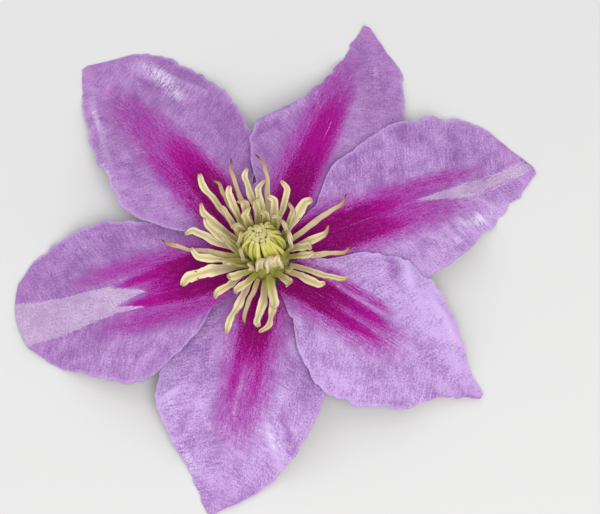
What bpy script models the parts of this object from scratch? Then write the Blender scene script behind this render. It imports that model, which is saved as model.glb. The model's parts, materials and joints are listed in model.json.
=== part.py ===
"""A large-flowered clematis bloom, picked and laid face up.

Six tepals lie around a short cut stalk. The stalk's domed head carries the pistil and, in four
whorls, the stamens. Shapes are worked out in millimetres and set down in metres. The tepals'
outer ends rest on the ground and the stalk's cut end hangs just clear of it.
"""

import math
from collections import namedtuple

import bpy
import numpy as np

MM = 0.001

# ---- driving dimensions, in millimetres and degrees ----

# The bed is the gently arching surface that all the tepals lie along.
BED_HEIGHT = 8.5
BED_REACH = 57.0
BED_RISE = 3.0
BED_FALL = 11.0
BED_FALL_POWER = 2.2

TEPAL_THICKNESS = 0.5
TEPAL_ROOT = 5.6
TEPAL_ROWS = 24
TEPAL_COLUMNS = 12
# How far an edge rises over a neighbour or drops under it, and the radii between which it starts.
EDGE_LIFT = 1.55
LIFT_FROM = 7.0
LIFT_FULL = 13.0
# Towards the tip the lift fades to this share, since the tepals no longer meet there.
LIFT_AT_TIP = 0.25
# From this share of its length on, a tepal leaves the bed and settles to its own tip height.
TIP_FROM = 0.60
MARGIN_WAVE = 0.35
MARGIN_WAVE_LENGTH = 15.0
# Middle of the sheet where it lies on the ground, and how softly it meets it.
LOWEST_SHEET = 0.27
GROUND_SOFTNESS = 0.1

# Shares of a tepal's length at which its half-widths are given, root first.
STATIONS = (0.09, 0.18, 0.30, 0.45, 0.60, 0.75, 0.90, 1.00)

# left and right are the half-widths seen from the flower's middle, with the tip ahead. An edge is
# +1 where it lies over its neighbour and -1 where it lies under it.
Tepal = namedtuple("Tepal", "name bearing length left right bow left_edge right_edge blunt tip")
TEPALS = (
    Tepal("tepal_back_left", 130.5, 63.0, (2.4, 5.4, 11.8, 16.0, 15.4, 11.8, 5.3, 0.7),
          (2.4, 5.2, 13.2, 17.4, 18.0, 16.6, 12.4, 1.0), -2.5, 1, -1, 0.0, 0.34),
    Tepal("tepal_back", 69.0, 62.0, (2.4, 5.2, 11.0, 14.4, 8.6, 3.8, 1.8, 0.7),
          (2.2, 3.9, 12.0, 15.5, 16.0, 13.8, 8.8, 0.8), -1.5, 1, -1, 0.0, 0.60),
    Tepal("tepal_right", 21.5, 63.0, (2.2, 4.0, 12.2, 16.2, 19.6, 18.0, 12.6, 0.9),
          (2.2, 4.6, 12.2, 16.6, 14.6, 10.0, 4.6, 0.8), 0.5, 1, -1, 0.0, 0.40),
    Tepal("tepal_front_right", -32.0, 53.5, (2.2, 4.6, 11.0, 15.2, 15.3, 11.4, 4.0, 0.7),
          (2.4, 5.8, 12.6, 17.4, 16.8, 12.2, 4.4, 0.7), -1.2, 1, 1, 0.0, 0.34),
    Tepal("tepal_front", -102.0, 54.5, (2.4, 5.8, 12.4, 17.2, 18.0, 14.8, 7.9, 0.8),
          (2.4, 5.6, 11.4, 15.8, 16.2, 11.6, 4.3, 0.7), 1.2, -1, -1, 0.0, 0.34),
    Tepal("tepal_left", 192.0, 54.5, (2.4, 5.6, 12.0, 18.0, 19.8, 15.4, 12.0, 7.0),
          (2.4, 5.4, 10.4, 13.6, 16.2, 15.0, 11.6, 7.0), 2.0, 1, -1, 0.035, 0.45),
)

# The stalk's head is half an ellipsoid. Below it the stalk narrows to the cut.
HEAD_RADIUS = 5.2
HEAD_RISE = 4.0
HEAD_BASE = 8.8
HEAD_STEPS = 8
UNDERSIDE = ((5.2, 8.1), (4.3, 7.3), (2.7, 6.5), (1.7, 5.7), (1.3, 4.6), (1.15, 3.0), (1.15, 1.2),
             (1.0, 1.0))
STALK_SIDES = 28

PISTIL_PROFILE = ((0.9, 22.3), (1.7, 21.9), (1.9, 21.1), (2.3, 20.4), (3.3, 19.4), (4.1, 18.0),
                  (4.35, 16.6), (4.1, 15.2), (3.4, 14.1), (2.3, 13.25))
PISTIL_SIDES = 24

# ---- stamens ----

Kind = namedtuple("Kind", "base shaft anther tip anther_start")
KINDS = {
    "cream": Kind(0.46, 0.56, 0.85, 0.42, 0.42),
    "broad": Kind(0.46, 0.62, 1.05, 0.66, 0.38),
    "folded": Kind(0.46, 0.56, 0.85, 0.50, 0.42),
    "inner": Kind(0.46, 0.62, 0.76, 0.38, 0.30),
    "withered": Kind(0.38, 0.34, 0.42, 0.24, 0.66),
}

# base and tip are bearings in degrees round the flower, reach is how far out the tip lies, rise
# its height over the tepals' roots, pitch the way the tip points (0 out, 90 up, 180 in) and turn
# how far it swings sideways.
Stamen = namedtuple("Stamen", "base tip reach rise pitch turn kind")
Whorl = namedtuple("Whorl", "name slope stamens")
WHORLS = (
    Whorl("outer", 11, (
        Stamen(337, 337, 18.5, 4.5, 5, 10, "cream"),
        Stamen(357, 358, 18.0, 4.5, 10, -15, "withered"),
        Stamen(16, 17, 14.0, 5.0, 20, 30, "cream"),
        Stamen(33, 34, 21.0, 4.5, 10, 15, "withered"),
        Stamen(51, 50, 14.0, 7.0, 35, 10, "broad"),
        Stamen(70, 71, 14.5, 8.0, 45, 20, "cream"),
        Stamen(86, 91, 20.5, 7.0, 20, 15, "withered"),
        Stamen(101, 107, 17.0, 8.5, 45, 40, "cream"),
        Stamen(115, 114, 20.5, 7.0, 20, 10, "withered"),
        Stamen(128, 125, 18.5, 7.5, 60, -30, "withered"),
        Stamen(141, 132, 22.0, 5.5, 10, -10, "cream"),
        Stamen(155, 149, 16.5, 7.0, 25, -10, "cream"),
        Stamen(169, 164, 17.0, 6.0, 30, -35, "cream"),
        Stamen(184, 176, 22.0, 3.8, 5, -15, "withered"),
        Stamen(203, 200, 19.0, 3.9, 0, -10, "broad"),
        Stamen(221, 223, 15.0, 4.5, 15, -30, "cream"),
        Stamen(238, 244, 20.0, 3.9, 0, -45, "cream"),
        Stamen(253, 251, 16.5, 3.4, 0, -20, "withered"),
        Stamen(268, 263, 17.0, 4.2, 0, -50, "folded"),
        Stamen(285, 272, 18.0, 4.0, 0, -30, "folded"),
        Stamen(321, 325, 14.5, 4.5, 10, -60, "folded"),
    )),
    Whorl("middle", 29, (
        Stamen(350, 348, 10.0, 6.5, 35, 0, "cream"),
        Stamen(9, 358, 9.5, 8.5, 55, 0, "cream"),
        Stamen(43, 52, 9.8, 9.0, 65, 0, "cream"),
        Stamen(74, 79, 10.2, 9.5, 65, 10, "cream"),
        Stamen(92, 98, 13.5, 9.0, 50, 20, "cream"),
        Stamen(108, 104, 9.6, 10.5, 70, 0, "cream"),
        Stamen(124, 116, 10.2, 10.5, 65, 0, "broad"),
        Stamen(140, 124, 15.0, 8.5, 45, 0, "cream"),
        Stamen(155, 138, 12.0, 9.5, 60, 0, "cream"),
        Stamen(170, 159, 14.0, 7.5, 45, -30, "cream"),
        Stamen(186, 170, 9.5, 9.5, 65, -20, "cream"),
        Stamen(201, 186, 15.5, 5.0, 25, -25, "cream"),
        Stamen(216, 206, 9.5, 8.0, 55, 0, "cream"),
        Stamen(231, 219, 10.5, 6.5, 40, -60, "folded"),
        Stamen(247, 235, 12.0, 6.5, 30, -60, "folded"),
        Stamen(278, 280, 13.5, 5.5, 0, 10, "broad"),
        Stamen(298, 302, 10.0, 6.5, 35, 0, "cream"),
        Stamen(320, 315, 8.2, 9.0, 65, 0, "cream"),
    )),
    Whorl("inner", 46, (
        Stamen(0, 0, 5.0, 10.6, 125, 0, "inner"),
        Stamen(34, 34, 5.0, 10.8, 130, -20, "inner"),
        Stamen(64, 67, 5.4, 11.2, 120, 0, "inner"),
        Stamen(90, 90, 5.8, 11.6, 100, 0, "inner"),
        Stamen(123, 126, 7.6, 10.6, 75, 0, "inner"),
        Stamen(149, 151, 7.2, 11.0, 80, 0, "inner"),
        Stamen(176, 172, 5.1, 10.8, 120, 0, "inner"),
        Stamen(207, 208, 5.5, 10.4, 115, 20, "inner"),
        Stamen(235, 238, 6.2, 8.6, 85, -20, "inner"),
        Stamen(259, 255, 4.4, 11.2, 125, 0, "inner"),
        Stamen(282, 279, 4.3, 11.4, 125, 0, "inner"),
        Stamen(305, 299, 4.6, 11.0, 125, 0, "inner"),
    )),
)

STAMEN_POINTS = 11
# How far the pull of each end's direction reaches, as a share of the way from base to tip.
BEND_REACH = 0.36
BASE_GAP = 0.38
NEIGHBOUR_GAP = 0.42
TEPAL_GAP = 0.35
PISTIL_GAP = 0.42
SPREAD_PASSES = 160
# In each pass a crowded point moves this share of what it lacks, and every line straightens so much.
SPREAD_SHARE = 0.35
STRAIGHTEN_SHARE = 0.12

# ---- colours ----

Look = namedtuple("Look", "colour roughness")
LOOKS = {
    "tepal_lilac": Look((0.45, 0.25, 0.55), 0.55),
    "stalk_green": Look((0.20, 0.22, 0.07), 0.60),
    "pistil_yellow": Look((0.60, 0.58, 0.20), 0.60),
    "stamen_cream": Look((0.72, 0.64, 0.52), 0.55),
    "stamen_green": Look((0.58, 0.56, 0.18), 0.55),
    "stamen_withered": Look((0.28, 0.13, 0.05), 0.70),
}


def ramp(value, low, high):
    """0 up to low, 1 from high, and a smooth rise between them."""
    share = np.clip((np.asarray(value, float) - low) / (high - low), 0.0, 1.0)
    return share * share * (3.0 - 2.0 * share)


def through(stations, values, where):
    """A smooth curve through values given at stations, read at where."""
    stations = np.asarray(stations, float)
    values = np.asarray(values, float)
    slopes = np.gradient(values, stations)
    index = np.clip(np.searchsorted(stations, where) - 1, 0, len(stations) - 2)
    span = stations[index + 1] - stations[index]
    t = np.clip((where - stations[index]) / span, 0.0, 1.0)
    rise = values[index + 1] - values[index]
    start = values[index]
    leave = slopes[index] * span
    arrive = slopes[index + 1] * span
    return start + t * leave + t * t * (3 * rise - 2 * leave - arrive) \
        + t ** 3 * (leave + arrive - 2 * rise)


def bed(radius):
    """Height of the tepals' common surface at a distance from the flower's axis."""
    share = np.asarray(radius, float) / BED_REACH
    return BED_HEIGHT + BED_RISE * share - BED_FALL * share ** BED_FALL_POWER


def lift_share(radius):
    """How much of the edge lift has been reached at a distance from the axis."""
    return ramp(radius, LIFT_FROM, LIFT_FULL)


def tepal_points(tepal, u, v):
    """Points of a tepal's middle sheet: u runs from root to tip, v from right edge to left."""
    along = TEPAL_ROOT + (tepal.length - TEPAL_ROOT) * u
    share = along / tepal.length
    left = through(STATIONS, tepal.left, share)
    right = through(STATIONS, tepal.right, share)
    side = np.where(v > 0, left, right)
    across = v * side + tepal.bow * ramp(share, 0.15, 0.5) * (1 - ramp(share, 0.55, 1.0))
    to_tip = ramp(share, TIP_FROM, 1.0)
    along = along - tepal.blunt * tepal.length * v * v * to_tip

    radius = np.hypot(along, across)
    height = bed(radius) * (1 - to_tip) + tepal.tip * to_tip
    lift = EDGE_LIFT * lift_share(radius) * (1 - (1 - LIFT_AT_TIP) * ramp(share, 0.7, 0.95))
    edge = np.where(v > 0, tepal.left_edge, tepal.right_edge)
    height = height + edge * lift * ramp(np.abs(v), 0.2, 0.95)
    wave = np.sin(2 * math.pi * along / MARGIN_WAVE_LENGTH + tepal.bearing)
    height = height + MARGIN_WAVE * wave * np.abs(v) ** 3 * ramp(share, 0.35, 0.6)
    above = height - LOWEST_SHEET
    height = LOWEST_SHEET + 0.5 * (above + np.sqrt(above ** 2 + GROUND_SOFTNESS ** 2))

    turn = math.radians(tepal.bearing)
    return np.stack([along * math.cos(turn) - across * math.sin(turn),
                     along * math.sin(turn) + across * math.cos(turn), height], axis=-1)


def dress(thing, look_name):
    """Gives an object its material and puts it in the flower's collection."""
    material = bpy.data.materials.get(look_name)
    if material is None:
        look = LOOKS[look_name]
        material = bpy.data.materials.new(look_name)
        material.use_nodes = True
        shader = material.node_tree.nodes["Principled BSDF"]
        shader.inputs["Base Color"].default_value = (*look.colour, 1.0)
        shader.inputs["Roughness"].default_value = look.roughness
        material.diffuse_color = (*look.colour, 1.0)
    thing.data.materials.clear()
    thing.data.materials.append(material)
    for home in list(thing.users_collection):
        home.objects.unlink(thing)
    flower.objects.link(thing)


def make_tepal(tepal):
    bpy.ops.mesh.primitive_grid_add(x_subdivisions=TEPAL_ROWS, y_subdivisions=TEPAL_COLUMNS, size=1)
    sheet = bpy.context.object
    sheet.name = tepal.name
    flat = np.empty(len(sheet.data.vertices) * 3)
    sheet.data.vertices.foreach_get("co", flat)
    flat = flat.reshape(-1, 3)
    placed = tepal_points(tepal, flat[:, 0] + 0.5, flat[:, 1] * 2)
    sheet.data.vertices.foreach_set("co", (placed * MM).ravel())
    sheet.data.update()
    sheet.data.shade_smooth()
    solid = sheet.modifiers.new("Thickness", "SOLIDIFY")
    solid.thickness = TEPAL_THICKNESS * MM
    solid.offset = 0
    dress(sheet, "tepal_lilac")


def head_point(slope):
    """Where a slope in degrees meets the head, with the way straight out from it there."""
    turn = math.radians(slope)
    point = np.array([HEAD_RADIUS * math.cos(turn), HEAD_BASE + HEAD_RISE * math.sin(turn)])
    out = np.array([math.cos(turn) / HEAD_RADIUS, math.sin(turn) / HEAD_RISE])
    return point, out / np.linalg.norm(out)


def make_turned(name, profile, sides, look):
    """A round piece, turned about the upright axis from a profile that runs from top to bottom."""
    rim = [(x * MM, 0.0, z * MM) for x, z in profile]
    points = [(0.0, 0.0, rim[0][2]), *rim, (0.0, 0.0, rim[-1][2])]
    mesh = bpy.data.meshes.new(name)
    mesh.from_pydata(points, [(i, i + 1) for i in range(len(points) - 1)], [])
    thing = bpy.data.objects.new(name, mesh)
    bpy.context.scene.collection.objects.link(thing)
    screw = thing.modifiers.new("Turn", "SCREW")
    screw.axis = "Z"
    screw.steps = sides
    screw.render_steps = sides
    screw.use_merge_vertices = True
    screw.merge_threshold = 0.00001
    screw.use_smooth_shade = True
    dress(thing, look)


def make_stalk():
    slopes = np.linspace(88, 0, HEAD_STEPS)
    head = [tuple(head_point(slope)[0]) for slope in slopes]
    make_turned("stalk", [*head, *UNDERSIDE], STALK_SIDES, "stalk_green")


def around(bearing, out, height):
    turn = math.radians(bearing)
    return np.array([out * math.cos(turn), out * math.sin(turn), height])


def stamen_path(slope, stamen):
    """The middle line of a stamen: it leaves the head square to it and bends to its tip."""
    point, out = head_point(slope)
    start = around(stamen.base, point[0] + BASE_GAP * out[0], point[1] + BASE_GAP * out[1])
    leave = around(stamen.base, out[0], out[1])
    end = around(stamen.tip, stamen.reach, BED_HEIGHT + stamen.rise)
    pitch = math.radians(stamen.pitch)
    arrive = around(stamen.tip + stamen.turn, math.cos(pitch), math.sin(pitch))
    pull = np.linalg.norm(end - start) * BEND_REACH
    t = np.linspace(0, 1, STAMEN_POINTS)[:, None]
    near = start + leave * pull
    far = end - arrive * pull
    return (1 - t) ** 3 * start + 3 * (1 - t) ** 2 * t * near + 3 * (1 - t) * t * t * far \
        + t ** 3 * end


def stamen_radii(kind):
    t = np.linspace(0, 1, STAMEN_POINTS)
    size = KINDS[kind]
    stations = (0.0, 0.18, size.anther_start, size.anther_start + 0.22, 0.94, 1.0)
    return np.interp(t, stations, (size.base, size.shaft, size.shaft, size.anther,
                                   size.anther * 0.9, size.tip))


def highest_tepal(points):
    """Height of the uppermost tepal face under each point."""
    radius = np.hypot(points[..., 0], points[..., 1])
    return bed(radius) + EDGE_LIFT * lift_share(radius) + TEPAL_THICKNESS


def spread(paths, radii):
    """Eases crowded stamens apart as they would push past one another, bases held still."""
    count, steps, _ = paths.shape
    pace = np.minimum(1.0, np.arange(steps) / 3.0)[None, :, None]
    pace[:, 0] = 0.0
    owner = np.repeat(np.arange(count), steps)
    size = radii.ravel()
    room = size[:, None] + size[None, :] + NEIGHBOUR_GAP
    room[owner[:, None] == owner[None, :]] = 0.0
    pistil_radius, pistil_height = np.array(PISTIL_PROFILE)[::-1].T
    for _ in range(SPREAD_PASSES):
        flat = paths.reshape(-1, 3)
        away = flat[:, None, :] - flat[None, :, :]
        far = np.sqrt((away ** 2).sum(axis=-1)) + 1e-9
        short = np.maximum(0.0, room - far)
        push = (away * (short / far)[..., None]).sum(axis=1) * SPREAD_SHARE
        push = push.reshape(count, steps, 3)
        eased = push.copy()
        eased[:, 1:-1] = 0.5 * push[:, 1:-1] + 0.25 * (push[:, :-2] + push[:, 2:])
        paths = paths + eased * pace
        middle = paths[:, 1:-1]
        mean = 0.5 * (paths[:, :-2] + paths[:, 2:])
        paths[:, 1:-1] = middle + (mean - middle) * STRAIGHTEN_SHARE
        # Nothing sinks into the tepals or leans into the pistil.
        floor = highest_tepal(paths) + radii + TEPAL_GAP
        paths[..., 2] = np.where(pace[..., 0] > 0, np.maximum(paths[..., 2], floor), paths[..., 2])
        out = np.hypot(paths[..., 0], paths[..., 1])
        clear = np.interp(paths[..., 2], pistil_height, pistil_radius) + PISTIL_GAP + radii
        grow = np.where((pace[..., 0] > 0) & (out < clear), clear / np.maximum(out, 0.1), 1.0)
        paths[..., 0] *= grow
        paths[..., 1] *= grow
    return paths


def make_stamen(name, path, radii, look):
    curve = bpy.data.curves.new(name, "CURVE")
    curve.dimensions = "3D"
    curve.bevel_depth = MM
    curve.bevel_resolution = 1
    curve.use_fill_caps = True
    line = curve.splines.new("POLY")
    line.points.add(len(path) - 1)
    for point, place, radius in zip(line.points, path, radii):
        point.co = (*(place * MM), 1.0)
        point.radius = radius
    line.use_smooth = True
    thing = bpy.data.objects.new(name, curve)
    bpy.context.scene.collection.objects.link(thing)
    dress(thing, look)


def make_stamens():
    names, paths, radii, looks = [], [], [], []
    for whorl in WHORLS:
        for number, stamen in enumerate(whorl.stamens, 1):
            names.append(f"stamen_{whorl.name}_{number:02d}")
            paths.append(stamen_path(whorl.slope, stamen))
            radii.append(stamen_radii(stamen.kind))
            looks.append({"inner": "stamen_green", "withered": "stamen_withered"}.get(
                stamen.kind, "stamen_cream"))
    radii = np.array(radii)
    paths = spread(np.array(paths), radii)
    for name, path, size, look in zip(names, paths, radii, looks):
        make_stamen(name, path, size, look)


def rest_on_ground():
    """Centres the flower over the origin and lets its lowest point down to the ground."""
    bpy.context.view_layer.update()
    seen = bpy.context.evaluated_depsgraph_get()
    corners = []
    for piece in flower.objects:
        shape = piece.evaluated_get(seen).to_mesh()
        flat = np.empty(len(shape.vertices) * 3)
        shape.vertices.foreach_get("co", flat)
        flat = flat.reshape(-1, 3)
        corners += [flat.min(axis=0), flat.max(axis=0)]
    low, high = np.min(corners, axis=0), np.max(corners, axis=0)
    for piece in flower.objects:
        piece.location = (-(low[0] + high[0]) / 2, -(low[1] + high[1]) / 2, -low[2])


for thing in list(bpy.data.objects):
    bpy.data.objects.remove(thing)
flower = bpy.data.collections.new("clematis_flower")
bpy.context.scene.collection.children.link(flower)

for tepal in TEPALS:
    make_tepal(tepal)
make_stalk()
make_turned("pistil", PISTIL_PROFILE, PISTIL_SIDES, "pistil_yellow")
make_stamens()
rest_on_ground()
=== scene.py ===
"""A large-flowered clematis bloom, picked and laid face up: looks, light and camera."""

import json
import math
from collections import namedtuple
from functools import cached_property

import bpy
import numpy as np
from bpy.props import FloatProperty, FloatVectorProperty, IntProperty, PointerProperty
from mathutils import Matrix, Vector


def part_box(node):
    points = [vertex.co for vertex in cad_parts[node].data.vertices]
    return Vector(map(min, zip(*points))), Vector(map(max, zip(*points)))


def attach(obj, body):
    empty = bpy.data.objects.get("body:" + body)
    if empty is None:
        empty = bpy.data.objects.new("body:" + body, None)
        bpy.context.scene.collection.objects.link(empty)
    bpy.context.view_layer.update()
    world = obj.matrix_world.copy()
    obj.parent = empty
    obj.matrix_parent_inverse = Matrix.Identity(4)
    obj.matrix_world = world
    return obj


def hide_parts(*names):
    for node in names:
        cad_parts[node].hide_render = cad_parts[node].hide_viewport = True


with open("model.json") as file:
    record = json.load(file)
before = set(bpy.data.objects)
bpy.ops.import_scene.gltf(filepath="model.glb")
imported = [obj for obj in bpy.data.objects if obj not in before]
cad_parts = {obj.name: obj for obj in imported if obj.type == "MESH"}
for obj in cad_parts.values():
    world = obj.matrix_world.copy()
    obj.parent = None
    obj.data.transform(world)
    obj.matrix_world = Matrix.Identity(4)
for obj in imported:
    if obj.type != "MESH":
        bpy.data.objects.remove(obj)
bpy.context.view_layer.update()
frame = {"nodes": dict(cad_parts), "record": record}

bl_info = {
    "name": "Clematis flower",
    "version": (1, 0, 0),
    "blender": (4, 5, 0),
    "location": "View3D > Sidebar > Clematis",
    "description": "Builds a picked clematis bloom, piece by piece, and a plain stage",
    "category": "Add Mesh",
}

MM = 0.001
# Where the random draws of each kind of piece start.
STAMEN_DRAWS, PISTIL_DRAWS, BUMP_DRAWS, HAIR_DRAWS = 900, 71, 31, 12
STALK_LOW, STALK_HIGH = (np.array(corner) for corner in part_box("stalk"))
# The flower's axis, at the height that its own heights are counted from. The stalk's cut end is
# STALK_END millimetres above that height.
STALK_END = 1.0
AXIS = np.array([(STALK_LOW[0] + STALK_HIGH[0]) / 2, (STALK_LOW[1] + STALK_HIGH[1]) / 2,
                 STALK_LOW[2] - STALK_END * MM])

# ---- tepals: sizes in millimetres, places as shares of a tepal's length or half-width ----

TEPAL_ROOT = 5.6
# The surface on which the tepals lie: it leaves the head, rises a little and then falls away.
BED_HEIGHT = 8.5
BED_REACH = 57.0
BED_RISE = 3.0
BED_FALL = 11.0
BED_FALL_POWER = 2.2
TIP_FROM = 0.6
# Margins lift from the bed, more from here outwards and less again towards the tip.
EDGE_LIFT = 0.85
LIFT_FROM_TO = (7.0, 13.0)
LIFT_AT_TIP = 0.25
MARGIN_WAVE = 0.35
MARGIN_WAVE_LENGTH = 15.0
# Near its root a tepal reaches past the middle of the gap to each neighbour, up to ROOT_OVERLAP of
# the way. Its margins are free from here outwards.
ROOT_OVERLAP = 1.1
FREE_FROM_TO = (0.2, 0.36)
# Random layers: which draws, length, and how strong.
SCALLOPS = ((0, 4.2, 0.75), (50, 1.9, 0.55), (90, 0.9, 0.3))
FRILLS = ((20, 5.2, 1.0), (30, 2.3, 0.55))
CRINKLE_LENGTH, CRINKLE = 0.9, 0.07
QUILT_LENGTH, QUILT = 2.6, 0.09
SWELL_LENGTH, SWELL = 9.0, 0.35
# Three ribs, each with its place across the tepal and how strong it is.
RIBS = ((0.0, 1.0), (0.24, 0.8), (-0.24, 0.8))
RIB_WIDTH = 0.42
RIB_DEPTH = 0.16
# The crests of folds narrower than BROAD_HILL get a painted highlight: they are painted paler
# than the sheet round them.
BROAD_HILL = 2.0
CREST_SHINE = 0.55
# Length and height of the crumples in the silvery places.
CRUMPLE_LENGTH, CRUMPLE = 0.7, 0.16
# The sheet's middle comes no lower than LOWEST_SHEET, with a soft bend where it meets the ground,
# and no point of the mesh lower than LOWEST_POINT.
LOWEST_SHEET = 0.27
GROUND_SOFTNESS = 0.1
LOWEST_POINT = 0.02
# Veins lean towards the tip as they run out, and mesh columns crowd towards the margins.
VEIN_SLANT = 0.35
CROWDING = 0.35
# Each tepal's grain lies this far from the one before's.
SEED_STEP = 37.0

# left and right are half-widths at the stations, seen from the flower's middle with the tip ahead.
# The last three say how much lighter or darker a tepal is painted, partly painted light and shade
# for how the light falls on it, how much lighter its left half is, and how rosy.
STATIONS = (0.09, 0.18, 0.3, 0.45, 0.6, 0.75, 0.9, 1.0)
Tepal = namedtuple("Tepal", "name bearing length left right bow left_edge right_edge blunt tip "
                   "light left_lighter rosy")
TEPALS = (
    Tepal("back_left", 130.5, 63.0, (2.4, 6.4, 13.4, 17.6, 16.4, 12.2, 5.4, 0.7),
          (2.4, 5.2, 12.0, 15.5, 16.5, 15.8, 12.0, 1.0), -2.5, 1, -1, 0.0, 0.34, -0.12, 0.16, 0.4),
    Tepal("back", 69.0, 62.0, (2.4, 5.2, 11.0, 14.4, 8.6, 3.8, 1.8, 0.7),
          (2.2, 3.9, 12.0, 15.5, 16.0, 13.8, 8.8, 0.8), -1.5, 1, -1, 0.0, 0.6, -0.12, 0.0, 0.4),
    Tepal("right", 21.5, 63.0, (2.2, 4.0, 12.2, 16.2, 19.6, 18.0, 12.6, 0.9),
          (2.2, 4.6, 12.2, 16.6, 14.6, 10.0, 4.6, 0.8), 0.5, 1, -1, 0.0, 0.4, 0.0, -0.14, 0.18),
    Tepal("front_right", -32.0, 53.5, (2.2, 4.6, 11.0, 15.2, 15.3, 11.4, 4.0, 0.7),
          (2.4, 5.8, 12.6, 16.8, 15.9, 11.4, 4.0, 0.7), -1.2, 1, 1, 0.0, 0.34, 0.25, 0.06, 0.05),
    Tepal("front", -102.0, 54.5, (2.4, 5.8, 12.0, 16.4, 16.6, 13.5, 7.3, 0.8),
          (2.4, 5.8, 12.8, 17.2, 17.4, 12.2, 4.4, 0.7), 1.2, -1, -1, 0.0, 0.34, 0.07, -0.04, 0.08),
    Tepal("left", 192.0, 54.5, (2.4, 5.6, 11.6, 16.8, 18.6, 15.6, 12.4, 7.4),
          (2.4, 6.2, 12.0, 15.8, 18.4, 17.0, 13.2, 7.8), 2.0, 1, -1, 0.035, 0.45, -0.18, 0.06, 0.3),
)

# Marks on a tepal: along is a share of its length, side is to the left of its middle line. The
# rows below are stripes, which taper between two places: first the magenta bars, then the streaks
# and wedges without pigment.
Stripe = namedtuple("Stripe", "along side end end_side width end_width feather strength")
BARS = {
    "back_left": (
        (0.05, -0.2, 0.56, -1.6, 5.4, 3.0, 2.6, 1.0), (0.22, 0.4, 0.84, -0.2, 6.4, 3.8, 3.8, 0.46),
        (0.14, 2.6, 0.6, 3.2, 4.0, 2.0, 2.4, 0.66),
    ),
    "back": (
        (0.05, 0.2, 0.7, -1.1, 4.6, 2.6, 2.1, 1.0), (0.14, 0.8, 0.82, 0.2, 6.0, 3.2, 2.8, 0.52),
    ),
    "right": (
        (0.05, 0.6, 0.53, 2.0, 4.4, 2.2, 2.2, 1.0), (0.05, -1.2, 0.52, -2.6, 4.4, 2.0, 2.0, 1.0),
        (0.14, -0.2, 0.7, -0.2, 7.4, 5.0, 3.6, 0.5), (0.38, 3.6, 0.8, 4.4, 2.2, 1.2, 2.0, 0.55),
    ),
    "front_right": (
        (0.05, -1.2, 0.38, -1.2, 4.4, 3.2, 1.7, 1.0), (0.2, 0.8, 0.56, 0.4, 1.8, 1.2, 1.3, 1.0),
        (0.2, -3.2, 0.57, -2.8, 1.9, 1.3, 1.5, 1.0), (0.12, -1.4, 0.62, -2.0, 6.2, 4.2, 3.2, 0.5),
        (0.24, 3.8, 0.54, 3.5, 1.3, 0.9, 1.3, 0.55),
    ),
    "front": (
        (0.05, 0.8, 0.46, 1.8, 4.8, 3.2, 2.4, 1.0), (0.3, 3.6, 0.62, 4.0, 2.2, 1.2, 2.0, 0.72),
        (0.34, -0.7, 0.6, -0.6, 1.7, 1.1, 1.6, 0.8), (0.18, 1.5, 0.72, 1.9, 7.0, 4.6, 3.8, 0.46),
    ),
    "left": (
        (0.05, 0.4, 0.48, 1.4, 6.2, 4.8, 1.8, 1.0), (0.25, -2.6, 0.57, -0.2, 2.1, 0.9, 0.9, 1.0),
        (0.3, 4.2, 0.58, 4.8, 1.9, 0.8, 0.8, 1.0), (0.18, -4.4, 0.72, -3.6, 2.8, 1.8, 2.6, 0.54),
        (0.14, 7.4, 0.66, 8.6, 2.8, 2.2, 2.6, 0.54),
    ),
}
PALE = {
    "back_left": ((0.2, -1.6, 0.6, -2.2, 0.1, 0.1, 0.3, 0.3),),
    "back": ((0.46, -1.8, 0.84, -1.0, 0.1, 0.16, 0.3, 0.5),),
    "right": (
        (0.16, -0.3, 0.62, 0.9, 0.08, 0.2, 0.35, 0.5), (0.55, 0.5, 0.76, 0.4, 0.2, 1.8, 0.7, 1.0),
        (0.73, 0.4, 0.99, 1.5, 1.8, 1.5, 1.1, 0.9),
    ),
    "front_right": (
        (0.18, -1.1, 0.58, -1.8, 0.12, 0.2, 0.35, 0.44),
        (0.62, -0.6, 0.96, 0.4, 0.12, 0.2, 0.4, 0.5),
        (0.3, 2.4, 0.54, 2.5, 0.3, 0.4, 0.5, 0.5),
    ),
    "front": (
        (0.22, 1.3, 0.62, 1.0, 0.1, 0.18, 0.4, 0.5), (0.44, 0.9, 0.64, 0.6, 0.3, 0.5, 0.6, 0.5),
    ),
    "left": (
        (0.24, 1.9, 0.56, 2.6, 0.08, 0.16, 0.25, 0.5), (0.485, 2.0, 0.62, 1.7, 0.2, 2.3, 0.4, 1.0),
        (0.5, 5.3, 0.62, 4.6, 0.15, 0.8, 0.35, 1.0), (0.61, 2.4, 1.1, 1.3, 3.0, 5.6, 0.5, 1.0),
    ),
}
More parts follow.
